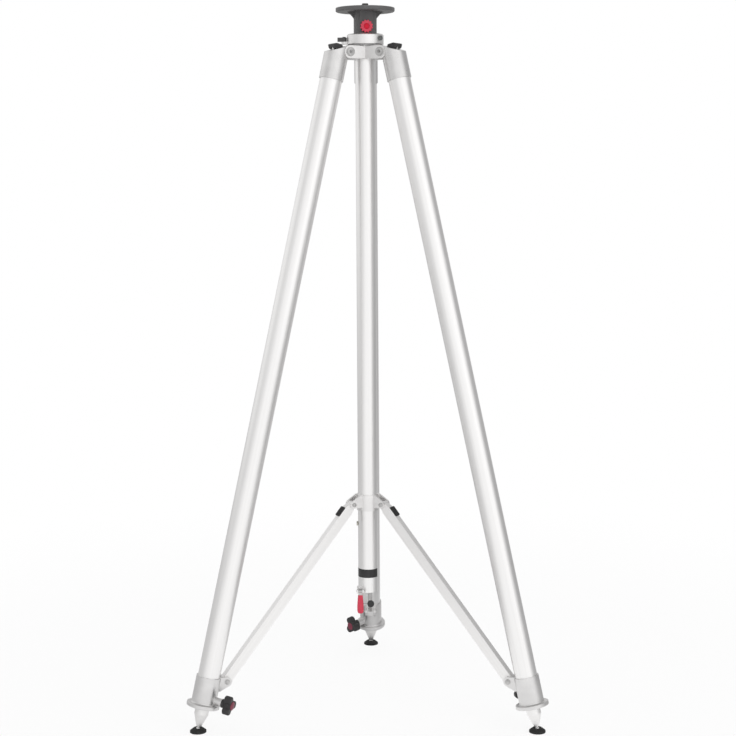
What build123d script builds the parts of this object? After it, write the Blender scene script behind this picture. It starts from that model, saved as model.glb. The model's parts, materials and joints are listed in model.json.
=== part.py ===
from build123d import *
import os
from math import cos, radians, sin, sqrt, tan

# Surveying tripod: a central column with an elevating post, three telescopic legs hinged to a crown,
# and a spreader whose hub slides on the column. Millimetres, +Z up, the pads stand on z = 0.

os.makedirs("parts", exist_ok=True)

# Fits and clearances
running_fit = 0.05
side_gap = 0.4
free_gap = 0.6
tip_gap = 0.4

# Stance of the legs: compass direction of each, lean from the vertical, place of the hip pin
legs = {"left": 210, "right": 330, "rear": 90}
leg_lean = 13.65
hip_radius = 52.0
hip_along = 1561.0
hip_inset = 20.9

# Leg tubes, measured along the leg from the floor
tube_radius = 25.0
tube_wall = 2.5
tube_top_drop = 22.0
tube_bottom = 95.0
inner_leg_radius = 20.0
inner_leg_wall = 2.5
inner_leg_length = 700.0
guide_bush_height = 25.0

# Leg cap and its sprung catch
cap_wall = 2.4
cap_skirt_drop = 69.0
cap_roof_angle = 27.5
cap_roof_height = 12.4
cap_rim_round = 1.2
tongue_width = 34.0
tongue_radius = 12.0
catch_width = 28.0
catch_nose_start = 10.0
catch_nose_height = 6.0
catch_nose_length = 6.0
catch_pin_distance = 24.5
catch_barrel_radius = 6.3
catch_corner_radius = 2.0
catch_lug_width = 8.0
catch_lug_radius = 4.0
catch_lift = 40.0
catch_pin_radius = 2.0

# Crown with its three forks
cheek_radius = 15.0
cheek_thickness = 8.0
hip_pin_radius = 5.0
pin_head_radius = 10.0
pin_head_height = 2.4
fork_floor_gap = 2.0
crown_core_radius = 29.0
crown_shoulder = 16.0
cheek_edge_break = 1.2

# Column and elevating post
column_radius = 22.9
column_wall = 3.35
column_bottom = 265.6
post_wall = 3.0
post_end_gap = 6.0

# Collar at the mouth of the column
seal_radius = 38.5
seal_height = 3.0
collar_radius = 41.5
collar_height = 22.3
collar_edge_break = 2.5
collar_slit_width = 2.0
collar_slit_direction = 200
collar_bolt_direction = 321
collar_bolt_height = 12.0
collar_bolt_radius = 3.0
collar_bolt_depth = 9.0
bolt_head_across = 10.0
bolt_head_height = 5.0
collar_boss_height = 6.0
collar_lever_height = 9.0
collar_lever_eye = 6.0
collar_lever_tip = 4.0
collar_lever_reach = 11.0
collar_pin_radius = 2.5

# Instrument plate on its neck
neck_radius = 26.0
neck_boss_width = 29.0
neck_boss_reach = 27.5
neck_height = 49.0
socket_depth = 37.0
plate_radius = 66.5
plate_thickness = 9.0
plate_rim_round = 3.0
plate_edge_round = 1.2
rib_count = 3
rib_width = 6.0
rib_reach = 15.0
rib_drop = 14.5
rib_hollow = 45.0
stud_radius = 7.9375
stud_height = 10.0
stem_radius = 6.0
stem_depth = 8.0
stud_edge_break = 1.0
plate_knob_direction = 276
plate_knob_drop = 34.2
plate_knob_radius = 14.0
plate_knob_thickness = 11.0
plate_knob_flutes = 12
plate_knob_flute_radius = 2.2
plate_knob_dimple_radius = 6.5
plate_knob_dimple_depth = 2.0
plate_knob_screw_radius = 4.0
post_groove_half = 4.5
post_groove_depth = 1.9

# Lever at the foot of the column
lever_across = -18.0
lever_forward = 27.0
lever_pivot_rise = 5.5
bracket_width = 16.0
bracket_front = 5.5
bracket_height = 11.0
bracket_round = 4.5
shank_width = 9.0
shank_thickness = 5.0
shank_eye_radius = 4.0
shank_length = 46.0
lever_pin_radius = 2.0
grip_width = 15.0
grip_thickness = 10.0
grip_start = 9.5
grip_length = 44.0
grip_round = 3.0
rod_radius = 1.6
rod_drop = 30.6
button_across = 6.2
button_radius = 8.0
button_thickness = 7.0
button_round = 1.5

# Spreader: hub on the column, struts to the foot castings
hub_wall = 2.65
hub_above = 20.7
hub_below = 17.3
hub_pivot_radius = 43.0
hub_ear_radius = 8.5
hub_ear_thickness = 5.0
hub_pin_radius = 3.0
hub_pin_head_radius = 4.8
hub_pin_head_height = 2.0
hub_stop_drop = 33.5
hub_stop_radius = 5.0
hub_stop_height = 3.4
hub_stop_shank = 2.0
strut_length = 494.8
strut_depth = 23.0
strut_width = 16.0
strut_wall = 2.6
strut_eye_radius = 6.5
strut_taper = 17.0
channel_margin = 16.0
bumper_length = 25.0
bumper_height = 3.5
bumper_round = 2.0
bumper_place = 30.0

# Foot casting, measured along the leg and outward from its axis
casting_wall = 3.0
casting_top = 128.0
flange_bottom = 58.5
flange_rim_height = 8.5
flange_radius = 37.3
flange_round = 1.5
ledge_hollow = 3.0
strut_pin_inset = 42.0
strut_pin_along = 121.0
strut_pin_radius = 4.0
strut_pin_head_radius = 6.0
strut_pin_head_height = 2.0
ear_radius = 11.0
ear_thickness = 5.0
ear_root_height = 30.0

# Clamp knob of the foot casting
knob_along = 78.0
knob_turn = 40.0
knob_boss_radius = 9.0
knob_boss_reach = 44.5
knob_screw_radius = 4.0
knob_neck_radius = 10.0
knob_neck_length = 8.0
knob_core_radius = 11.0
knob_lobe_radius = 9.0
knob_lobe_offset = 14.0
knob_lobes = 3
knob_lobe_turn = 30
knob_hollow = 5.0
knob_thickness = 17.0
knob_round = 3.0
knob_screw_hold = 8.0

# Foot cone and its ball-jointed pad
cone_lip = 2.0
cone_top_radius = 16.0
cone_shoulder_along = 42.0
cone_end_radius = 6.0
cone_end_rise = 7.0
cone_plug_height = 18.0
ball_radius = 5.0
ball_neck_radius = 2.8
ball_height = 6.6
ball_fit = 0.3
pad_radius = 18.5
pad_skirt_height = 3.5
pad_top_radius = 11.0
pad_top_rise = 2.9
pad_throat_rise = 1.8
pad_mouth_angle = 38.0

# Sizes that follow from the ones above
lean_sin = sin(radians(leg_lean))
lean_cos = cos(radians(leg_lean))
foot_radius = hip_radius + hip_inset * lean_cos + hip_along * lean_sin
hip_height = hip_along * lean_cos - hip_inset * lean_sin
tube_bore = tube_radius - tube_wall
inner_leg_bore = inner_leg_radius - inner_leg_wall
inner_leg_top = flange_bottom + inner_leg_length
tube_top = hip_along - tube_top_drop
cheek_inner = tongue_width / 2 + side_gap
cheek_outer = cheek_inner + cheek_thickness
column_bore = column_radius - column_wall
post_radius = column_bore - running_fit
post_bottom = column_bottom + post_end_gap
crown_bottom = hip_height - cheek_radius
crown_top = hip_height + crown_shoulder
collar_bottom = crown_top + seal_height
collar_top = collar_bottom + collar_height
neck_bottom = collar_top + side_gap
plate_bottom = neck_bottom + neck_height
plate_top = plate_bottom + plate_thickness
post_top = neck_bottom + socket_depth - side_gap
plate_knob_height = plate_bottom - plate_knob_drop
lever_height = column_bottom + lever_pivot_rise
hub_bore = column_radius + running_fit
hub_radius = hub_bore + hub_wall
fork_half = strut_width / 2 + side_gap
casting_radius = tube_radius + casting_wall
casting_bore = inner_leg_radius + running_fit
ball_along = ball_height / lean_cos
cone_end_along = ball_along + cone_end_rise
strut_pin_radial = foot_radius - strut_pin_inset * lean_cos - strut_pin_along * lean_sin
strut_pin_height = strut_pin_along * lean_cos - strut_pin_inset * lean_sin
strut_run = strut_pin_radial - hub_pivot_radius
strut_rise = sqrt(strut_length**2 - strut_run**2)
hub_height = strut_pin_height + strut_rise
hub_bottom = hub_height - hub_below
hub_top = hub_height + hub_above

# The flanges reach furthest to the front and the rear: the axis stands so that y = 0 is midway
flange_axis_radius = foot_radius - flange_bottom * lean_sin
reach_rear = flange_axis_radius + flange_radius * lean_cos
reach_front = flange_axis_radius / 2 + flange_radius * sqrt(1 - (lean_sin / 2) ** 2)
axis_y = (reach_front - reach_rear) / 2

upward = Vector(0, 0, 1)


def radial(azimuth):
    return Vector(cos(radians(azimuth)), sin(radians(azimuth)), 0)


def tangent(azimuth):
    return Vector(-sin(radians(azimuth)), cos(radians(azimuth)), 0)


def outward(azimuth):
    return radial(azimuth) * lean_cos + upward * lean_sin


def along(azimuth):
    return upward * lean_cos - radial(azimuth) * lean_sin


def level(height):
    return Plane(origin=(0, axis_y, height))


def radial_plane(azimuth, shift=0):
    spot = Vector(0, axis_y, 0) + tangent(azimuth) * shift
    return Plane(origin=spot, x_dir=radial(azimuth), z_dir=-tangent(azimuth))


def radial_face(azimuth, radius, height):
    spot = Vector(0, axis_y, height) + radial(azimuth) * radius
    return Plane(origin=spot, x_dir=tangent(azimuth), z_dir=radial(azimuth))


def leg_spot(azimuth, out, up, side=0):
    floor = Vector(0, axis_y, 0) + radial(azimuth) * foot_radius
    return floor + outward(azimuth) * out + along(azimuth) * up + tangent(azimuth) * side


def leg_side(azimuth, shift=0):
    return Plane(origin=leg_spot(azimuth, 0, 0, shift), x_dir=outward(azimuth), z_dir=-tangent(azimuth))


def leg_section(azimuth, up):
    return Plane(origin=leg_spot(azimuth, 0, up), x_dir=outward(azimuth), z_dir=along(azimuth))


def leg_axis(azimuth):
    return Axis(leg_spot(azimuth, 0, 0), along(azimuth))


def knob_direction(azimuth):
    turn = radians(knob_turn)
    return tangent(azimuth) * cos(turn) - outward(azimuth) * sin(turn)


def knob_face(azimuth, reach):
    spot = leg_spot(azimuth, 0, knob_along) + knob_direction(azimuth) * reach
    return Plane(origin=spot, x_dir=along(azimuth), z_dir=knob_direction(azimuth))


def strut_side(azimuth, shift=0):
    rise = (upward * strut_rise - radial(azimuth) * strut_run) * (1 / strut_length)
    spot = Vector(0, axis_y, strut_pin_height) + radial(azimuth) * strut_pin_radial
    return Plane(origin=spot + tangent(azimuth) * shift, x_dir=rise, z_dir=tangent(azimuth))


def save(piece, name):
    piece.part.label = name
    export_step(piece.part, f"parts/{name}.step")


# Crown: a round core with three forks, each fork a pair of round-ended cheeks for one leg cap
with BuildPart() as crown_casting:
    with BuildSketch(level(crown_bottom)):
        Circle(crown_core_radius)
    extrude(amount=crown_top - crown_bottom)
    for azimuth in legs.values():
        with BuildSketch(radial_plane(azimuth)):
            with Locations((hip_radius, hip_height)):
                Circle(cheek_radius)
            with Locations((hip_radius / 2, hip_height)):
                Rectangle(hip_radius, 2 * cheek_radius)
        extrude(amount=cheek_outer - cheek_edge_break, both=True)
        for side in (-1, 1):
            with BuildSketch(radial_plane(azimuth, side * (cheek_outer - cheek_edge_break))):
                with Locations((hip_radius, hip_height)):
                    Circle(cheek_radius)
                with Locations((hip_radius / 2, hip_height)):
                    Rectangle(hip_radius, 2 * cheek_radius)
            extrude(amount=-side * cheek_edge_break, taper=45)
    fork_floor = hip_radius - tongue_radius - fork_floor_gap
    fork_depth = hip_radius + cheek_radius - fork_floor
    for azimuth in legs.values():
        with BuildSketch(radial_plane(azimuth)):
            with Locations((fork_floor + fork_depth / 2, hip_height)):
                Rectangle(fork_depth, 4 * cheek_radius)
        extrude(amount=cheek_inner, both=True, mode=Mode.SUBTRACT)
        with BuildSketch(radial_plane(azimuth)):
            with Locations((hip_radius, hip_height)):
                Circle(hip_pin_radius)
        extrude(amount=cheek_outer, both=True, mode=Mode.SUBTRACT)
    with BuildSketch(level(crown_bottom)):
        Circle(column_radius)
    extrude(amount=crown_top - crown_bottom, mode=Mode.SUBTRACT)
save(crown_casting, "crown_casting")

# Hip pins: one through each fork, with a flat round head on either cheek
with BuildPart() as hinge_pins:
    for azimuth in legs.values():
        with BuildSketch(radial_plane(azimuth)):
            with Locations((hip_radius, hip_height)):
                Circle(hip_pin_radius)
        extrude(amount=cheek_outer, both=True)
        for side in (-1, 1):
            with BuildSketch(radial_plane(azimuth, side * cheek_outer)):
                with Locations((hip_radius, hip_height)):
                    Circle(pin_head_radius)
            extrude(amount=-side * pin_head_height)
save(hinge_pins, "hinge_pins")

# Column: fixed tube through the crown, down the tripod's axis
with BuildPart() as center_column:
    with BuildSketch(level(column_bottom)):
        Circle(column_radius)
        Circle(column_bore, mode=Mode.SUBTRACT)
    extrude(amount=crown_top - column_bottom)
    with BuildSketch(radial_face(180, 0, hub_bottom - hub_stop_drop)):
        Circle(hub_stop_shank)
    extrude(amount=2 * column_radius, mode=Mode.SUBTRACT)
save(center_column, "center_column")

# Stop screw: keeps the spreader hub from sliding off the column
with BuildPart() as hub_stop:
    with BuildSketch(radial_face(180, column_bore + running_fit, hub_bottom - hub_stop_drop)):
        Circle(hub_stop_shank)
    extrude(amount=column_wall - running_fit)
    with BuildSketch(radial_face(180, column_radius, hub_bottom - hub_stop_drop)):
        Circle(hub_stop_radius)
    extrude(amount=hub_stop_height)
save(hub_stop, "hub_stop")

# Seal ring between crown and collar
with BuildPart() as collar_seal:
    with BuildSketch(level(crown_top)):
        Circle(seal_radius)
        Circle(column_bore, mode=Mode.SUBTRACT)
    extrude(amount=seal_height)
save(collar_seal, "collar_seal")

# Collar: split clamp ring round the post, with a boss for its lever on the left
collar_pin_place = collar_radius + collar_lever_eye + side_gap
with BuildPart() as clamp_collar:
    with BuildSketch(level(collar_bottom)):
        Circle(collar_radius)
    extrude(amount=collar_height)
    chamfer(clamp_collar.edges().group_by(Axis.Z)[-1], collar_edge_break)
    with BuildSketch(level(collar_bottom)):
        with Locations((-collar_pin_place, 0)):
            Circle(collar_lever_eye)
        with Locations((-collar_pin_place / 2, 0)):
            Rectangle(collar_pin_place, 2 * collar_lever_eye)
    extrude(amount=collar_boss_height)
    with BuildSketch(level(collar_bottom)):
        Circle(column_bore)
        with Locations((-collar_pin_place, 0)):
            Circle(collar_pin_radius + running_fit)
    extrude(amount=collar_height, mode=Mode.SUBTRACT)
    with BuildSketch(radial_plane(collar_slit_direction)):
        with Locations((collar_radius, collar_bottom + collar_height / 2)):
            Rectangle(2 * collar_radius, 2 * collar_height)
    extrude(amount=collar_slit_width / 2, both=True, mode=Mode.SUBTRACT)
    with BuildSketch(radial_face(collar_bolt_direction, collar_radius, collar_bottom + collar_bolt_height)):
        Circle(collar_bolt_radius)
    extrude(amount=-collar_bolt_depth, mode=Mode.SUBTRACT)
save(clamp_collar, "clamp_collar")

# Clamp bolt of the collar, a hexagon head on the right of the front
with BuildPart() as collar_nut:
    with BuildSketch(radial_face(collar_bolt_direction, collar_radius, collar_bottom + collar_bolt_height)):
        RegularPolygon(bolt_head_across / 2, 6, major_radius=False)
    extrude(amount=bolt_head_height)
    with BuildSketch(radial_face(collar_bolt_direction, collar_radius, collar_bottom + collar_bolt_height)):
        Circle(collar_bolt_radius)
    extrude(amount=-collar_bolt_depth)
save(collar_nut, "collar_nut")

# Collar lever: lies on the boss and turns on its own upright pin
collar_lever_bottom = collar_bottom + collar_boss_height + side_gap
with BuildPart() as collar_lever:
    with BuildSketch(level(collar_lever_bottom)):
        with Locations((-collar_pin_place, 0)):
            Circle(collar_lever_eye)
        with Locations((-collar_pin_place - collar_lever_reach, 0)):
            Circle(collar_lever_tip)
        make_hull()
    extrude(amount=collar_lever_height)
    with BuildSketch(level(collar_bottom)):
        with Locations((-collar_pin_place, 0)):
            Circle(collar_pin_radius)
    extrude(amount=collar_boss_height + 2 * side_gap)
save(collar_lever, "collar_lever")

# Bracket at the foot of the column: a clevis saddled on the tube, front left
bracket_back = bracket_front + shank_eye_radius + side_gap
with BuildPart() as lever_bracket:
    bracket_spot = (lever_across, axis_y - lever_forward, lever_height)
    bracket_plane = Plane(origin=bracket_spot, x_dir=(0, 1, 0), z_dir=(1, 0, 0))
    with BuildSketch(bracket_plane):
        with Locations((-bracket_front, -lever_pivot_rise)):
            Rectangle(bracket_front + lever_forward, bracket_height, align=(Align.MIN, Align.MIN))
        fillet(vertices().group_by(Axis.X)[0], bracket_round)
    extrude(amount=bracket_width / 2, both=True)
    with BuildSketch(bracket_plane):
        with Locations((-bracket_front, -lever_pivot_rise)):
            Rectangle(bracket_back, bracket_height, align=(Align.MIN, Align.MIN))
    extrude(amount=shank_width / 2 + side_gap, both=True, mode=Mode.SUBTRACT)
    with BuildSketch(bracket_plane):
        Circle(lever_pin_radius + running_fit)
    extrude(amount=bracket_width, both=True, mode=Mode.SUBTRACT)
    with BuildSketch(level(column_bottom)):
        Circle(column_radius)
    extrude(amount=bracket_height, mode=Mode.SUBTRACT)
save(lever_bracket, "lever_bracket")

# Shank of the column lever: flat bar with an eye and its pin above, a cross rod below
with BuildPart() as lever_shank:
    with BuildSketch(bracket_plane):
        Circle(shank_eye_radius)
        with Locations((0, -shank_length / 2)):
            Rectangle(shank_thickness, shank_length)
    extrude(amount=shank_width / 2, both=True)
    with BuildSketch(bracket_plane):
        Circle(lever_pin_radius)
    extrude(amount=bracket_width / 2, both=True)
    with BuildSketch(bracket_plane):
        with Locations((0, -rod_drop)):
            Circle(rod_radius)
    extrude(amount=button_across - lever_across)
save(lever_shank, "lever_shank")

# Grip of the column lever: rounded sleeve over the shank
with BuildPart() as column_lever:
    grip_top = Plane(origin=(lever_across, axis_y - lever_forward, lever_height - grip_start))
    with BuildSketch(grip_top):
        RectangleRounded(grip_width, grip_thickness, grip_round)
    extrude(amount=-grip_length)
    fillet(column_lever.edges().group_by(Axis.Z)[0], grip_round - free_gap)
    with BuildSketch(grip_top):
        Rectangle(shank_width, shank_thickness)
    extrude(amount=grip_start - shank_length, mode=Mode.SUBTRACT)
    with BuildSketch(bracket_plane):
        with Locations((0, -rod_drop)):
            Circle(rod_radius)
    extrude(amount=grip_width, mode=Mode.SUBTRACT)
save(column_lever, "column_lever")

# Button at the end of the cross rod
with BuildPart() as lever_button:
    button_plane = Plane(
        origin=(button_across, axis_y - lever_forward, lever_height - rod_drop),
        x_dir=(1, 0, 0),
        z_dir=(0, -1, 0),
    )
    with BuildSketch(button_plane):
        Circle(button_radius)
    extrude(amount=button_thickness / 2, both=True)
    fillet(lever_button.edges().filter_by(GeomType.CIRCLE), button_round)
    with BuildSketch(bracket_plane):
        with Locations((0, -rod_drop)):
            Circle(rod_radius)
    extrude(amount=button_across - lever_across, mode=Mode.SUBTRACT)
save(lever_button, "lever_button")

# Elevating post: tube in the column, grooved near its top for the plate knob's screw
with BuildPart() as elevating_post:
    with BuildSketch(level(post_bottom)):
        Circle(post_radius)
    extrude(amount=post_top - post_bottom)
    with BuildSketch(level(plate_knob_height - post_groove_half)):
        Circle(post_radius)
        Circle(post_radius - post_groove_depth, mode=Mode.SUBTRACT)
    extrude(amount=2 * post_groove_half, mode=Mode.SUBTRACT)
    with BuildSketch(level(post_bottom)):
        Circle(post_radius - post_wall)
    extrude(amount=post_top - post_bottom, mode=Mode.SUBTRACT)
save(elevating_post, "elevating_post")

# Instrument plate: round plate on a socketed neck, with a flat boss for the knob and three ribs
with BuildPart() as instrument_plate:
    with BuildSketch(level(plate_bottom)):
        Circle(plate_radius)
    extrude(amount=plate_thickness)
    fillet(instrument_plate.edges().group_by(Axis.Z)[0], plate_rim_round)
    fillet(instrument_plate.edges().group_by(Axis.Z)[-1], plate_edge_round)
    with BuildSketch(level(neck_bottom)):
        Circle(neck_radius)
        with Locations(Location((0, 0, 0), (0, 0, plate_knob_direction))):
            Rectangle(neck_boss_reach, neck_boss_width, align=(Align.MIN, Align.CENTER))
    extrude(amount=neck_height)
    for index in range(rib_count):
        with BuildSketch(radial_plane(plate_knob_direction + (index + 1) * 360 / (rib_count + 1))):
            with BuildLine():
                rib_foot = (neck_radius, plate_bottom - rib_drop)
                rib_tip = (neck_radius + rib_reach, plate_bottom)
                rib_root = neck_radius / 2
                Polyline(rib_tip, (rib_root, plate_bottom), (rib_root, plate_bottom - rib_drop), rib_foot)
                RadiusArc(rib_foot, rib_tip, rib_hollow)
            make_face()
        extrude(amount=rib_width / 2, both=True)
    with BuildSketch(level(neck_bottom)):
        Circle(post_radius + running_fit)
    extrude(amount=socket_depth, mode=Mode.SUBTRACT)
    with BuildSketch(level(plate_top)):
        Circle(stem_radius)
    extrude(amount=-stem_depth, mode=Mode.SUBTRACT)
    with BuildSketch(radial_face(plate_knob_direction, 0, plate_knob_height)):
        Circle(plate_knob_screw_radius + running_fit)
    extrude(amount=2 * neck_boss_reach, mode=Mode.SUBTRACT)
save(instrument_plate, "instrument_plate")

# Stud that takes the instrument, its stem set in the plate
with BuildPart() as fixing_stud:
    with BuildSketch(level(plate_top)):
        Circle(stud_radius)
    extrude(amount=stud_height)
    chamfer(fixing_stud.edges().group_by(Axis.Z)[-1], stud_edge_break)
    with BuildSketch(level(plate_top)):
        Circle(stem_radius)
    extrude(amount=-stem_depth)
save(fixing_stud, "fixing_stud")

# Plate knob: fluted round knob on the front of the neck
plate_knob_back = neck_boss_reach + side_gap
with BuildPart() as plate_knob:
    with BuildSketch(radial_face(plate_knob_direction, plate_knob_back, plate_knob_height)):
        Circle(plate_knob_radius)
        with PolarLocations(plate_knob_radius, plate_knob_flutes):
            Circle(plate_knob_flute_radius, mode=Mode.SUBTRACT)
    extrude(amount=plate_knob_thickness)
    plate_knob_front = plate_knob_back + plate_knob_thickness
    with BuildSketch(radial_face(plate_knob_direction, plate_knob_front, plate_knob_height)):
        Circle(plate_knob_dimple_radius)
    extrude(amount=-plate_knob_dimple_depth, mode=Mode.SUBTRACT)
    with BuildSketch(radial_face(plate_knob_direction, plate_knob_back, plate_knob_height)):
        Circle(plate_knob_screw_radius)
    extrude(amount=plate_knob_thickness / 2, mode=Mode.SUBTRACT)
save(plate_knob, "plate_knob")

# Screw of the plate knob: its end runs in the groove of the post
with BuildPart() as plate_knob_screw:
    screw_tip = post_radius - post_groove_depth + tip_gap
    with BuildSketch(radial_face(plate_knob_direction, screw_tip, plate_knob_height)):
        Circle(plate_knob_screw_radius)
    extrude(amount=plate_knob_back + plate_knob_thickness / 2 - screw_tip)
save(plate_knob_screw, "plate_knob_screw")

# Spreader hub: sleeve on the column with a pair of ears towards each leg
with BuildPart() as spreader_hub:
    with BuildSketch(level(hub_bottom)):
        Circle(hub_radius)
    extrude(amount=hub_top - hub_bottom)
    for azimuth in legs.values():
        for side in (-1, 1):
            with BuildSketch(radial_plane(azimuth, side * fork_half)):
                with Locations((hub_pivot_radius, hub_height)):
                    Circle(hub_ear_radius)
                with Locations((hub_bore, hub_top)):
                    Rectangle(2 * hub_wall, hub_above + hub_ear_radius, align=(Align.CENTER, Align.MAX))
                make_hull()
                with Locations((hub_pivot_radius, hub_height)):
                    Circle(hub_pin_radius, mode=Mode.SUBTRACT)
            extrude(amount=-side * hub_ear_thickness)
    with BuildSketch(level(hub_bottom)):
        Circle(hub_bore)
    extrude(amount=hub_top - hub_bottom, mode=Mode.SUBTRACT)
save(spreader_hub, "spreader_hub")

# Hub pins: a headed half pin in each ear, ending at the ear's inner face
with BuildPart() as hub_pins:
    for azimuth in legs.values():
        for side in (-1, 1):
            with BuildSketch(radial_plane(azimuth, side * fork_half)):
                with Locations((hub_pivot_radius, hub_height)):
                    Circle(hub_pin_radius)
            extrude(amount=-side * hub_ear_thickness)
            with BuildSketch(radial_plane(azimuth, side * (fork_half + hub_ear_thickness))):
                with Locations((hub_pivot_radius, hub_height)):
                    Circle(hub_pin_head_radius)
            extrude(amount=-side * hub_pin_head_height)
save(hub_pins, "hub_pins")

# Catch of a leg cap in the leg's own plane: it lies on the sloping roof, its pin stands near the outer end
roof_normal = (sin(radians(cap_roof_angle)), cos(radians(cap_roof_angle)))
roof_slope = (cos(radians(cap_roof_angle)), -sin(radians(cap_roof_angle)))
roof_spot = (-hip_inset + cap_roof_height * roof_normal[0], hip_along + cap_roof_height * roof_normal[1])


def roof_point(down, rise):
    return (
        roof_spot[0] + down * roof_slope[0] + rise * roof_normal[0],
        roof_spot[1] + down * roof_slope[1] + rise * roof_normal[1],
    )


catch_pin_rise = catch_barrel_radius + side_gap
catch_pin_spot = roof_point(catch_pin_distance, catch_pin_rise)
catch_corner = catch_barrel_radius - catch_corner_radius
catch_swing = (sin(radians(catch_lift)), 1 - cos(radians(catch_lift)))
catch_pocket_spots = (
    catch_pin_spot,
    roof_point(catch_pin_distance, 0),
    roof_point(catch_pin_distance + catch_pin_rise * catch_swing[0], catch_pin_rise * catch_swing[1]),
)

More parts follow.
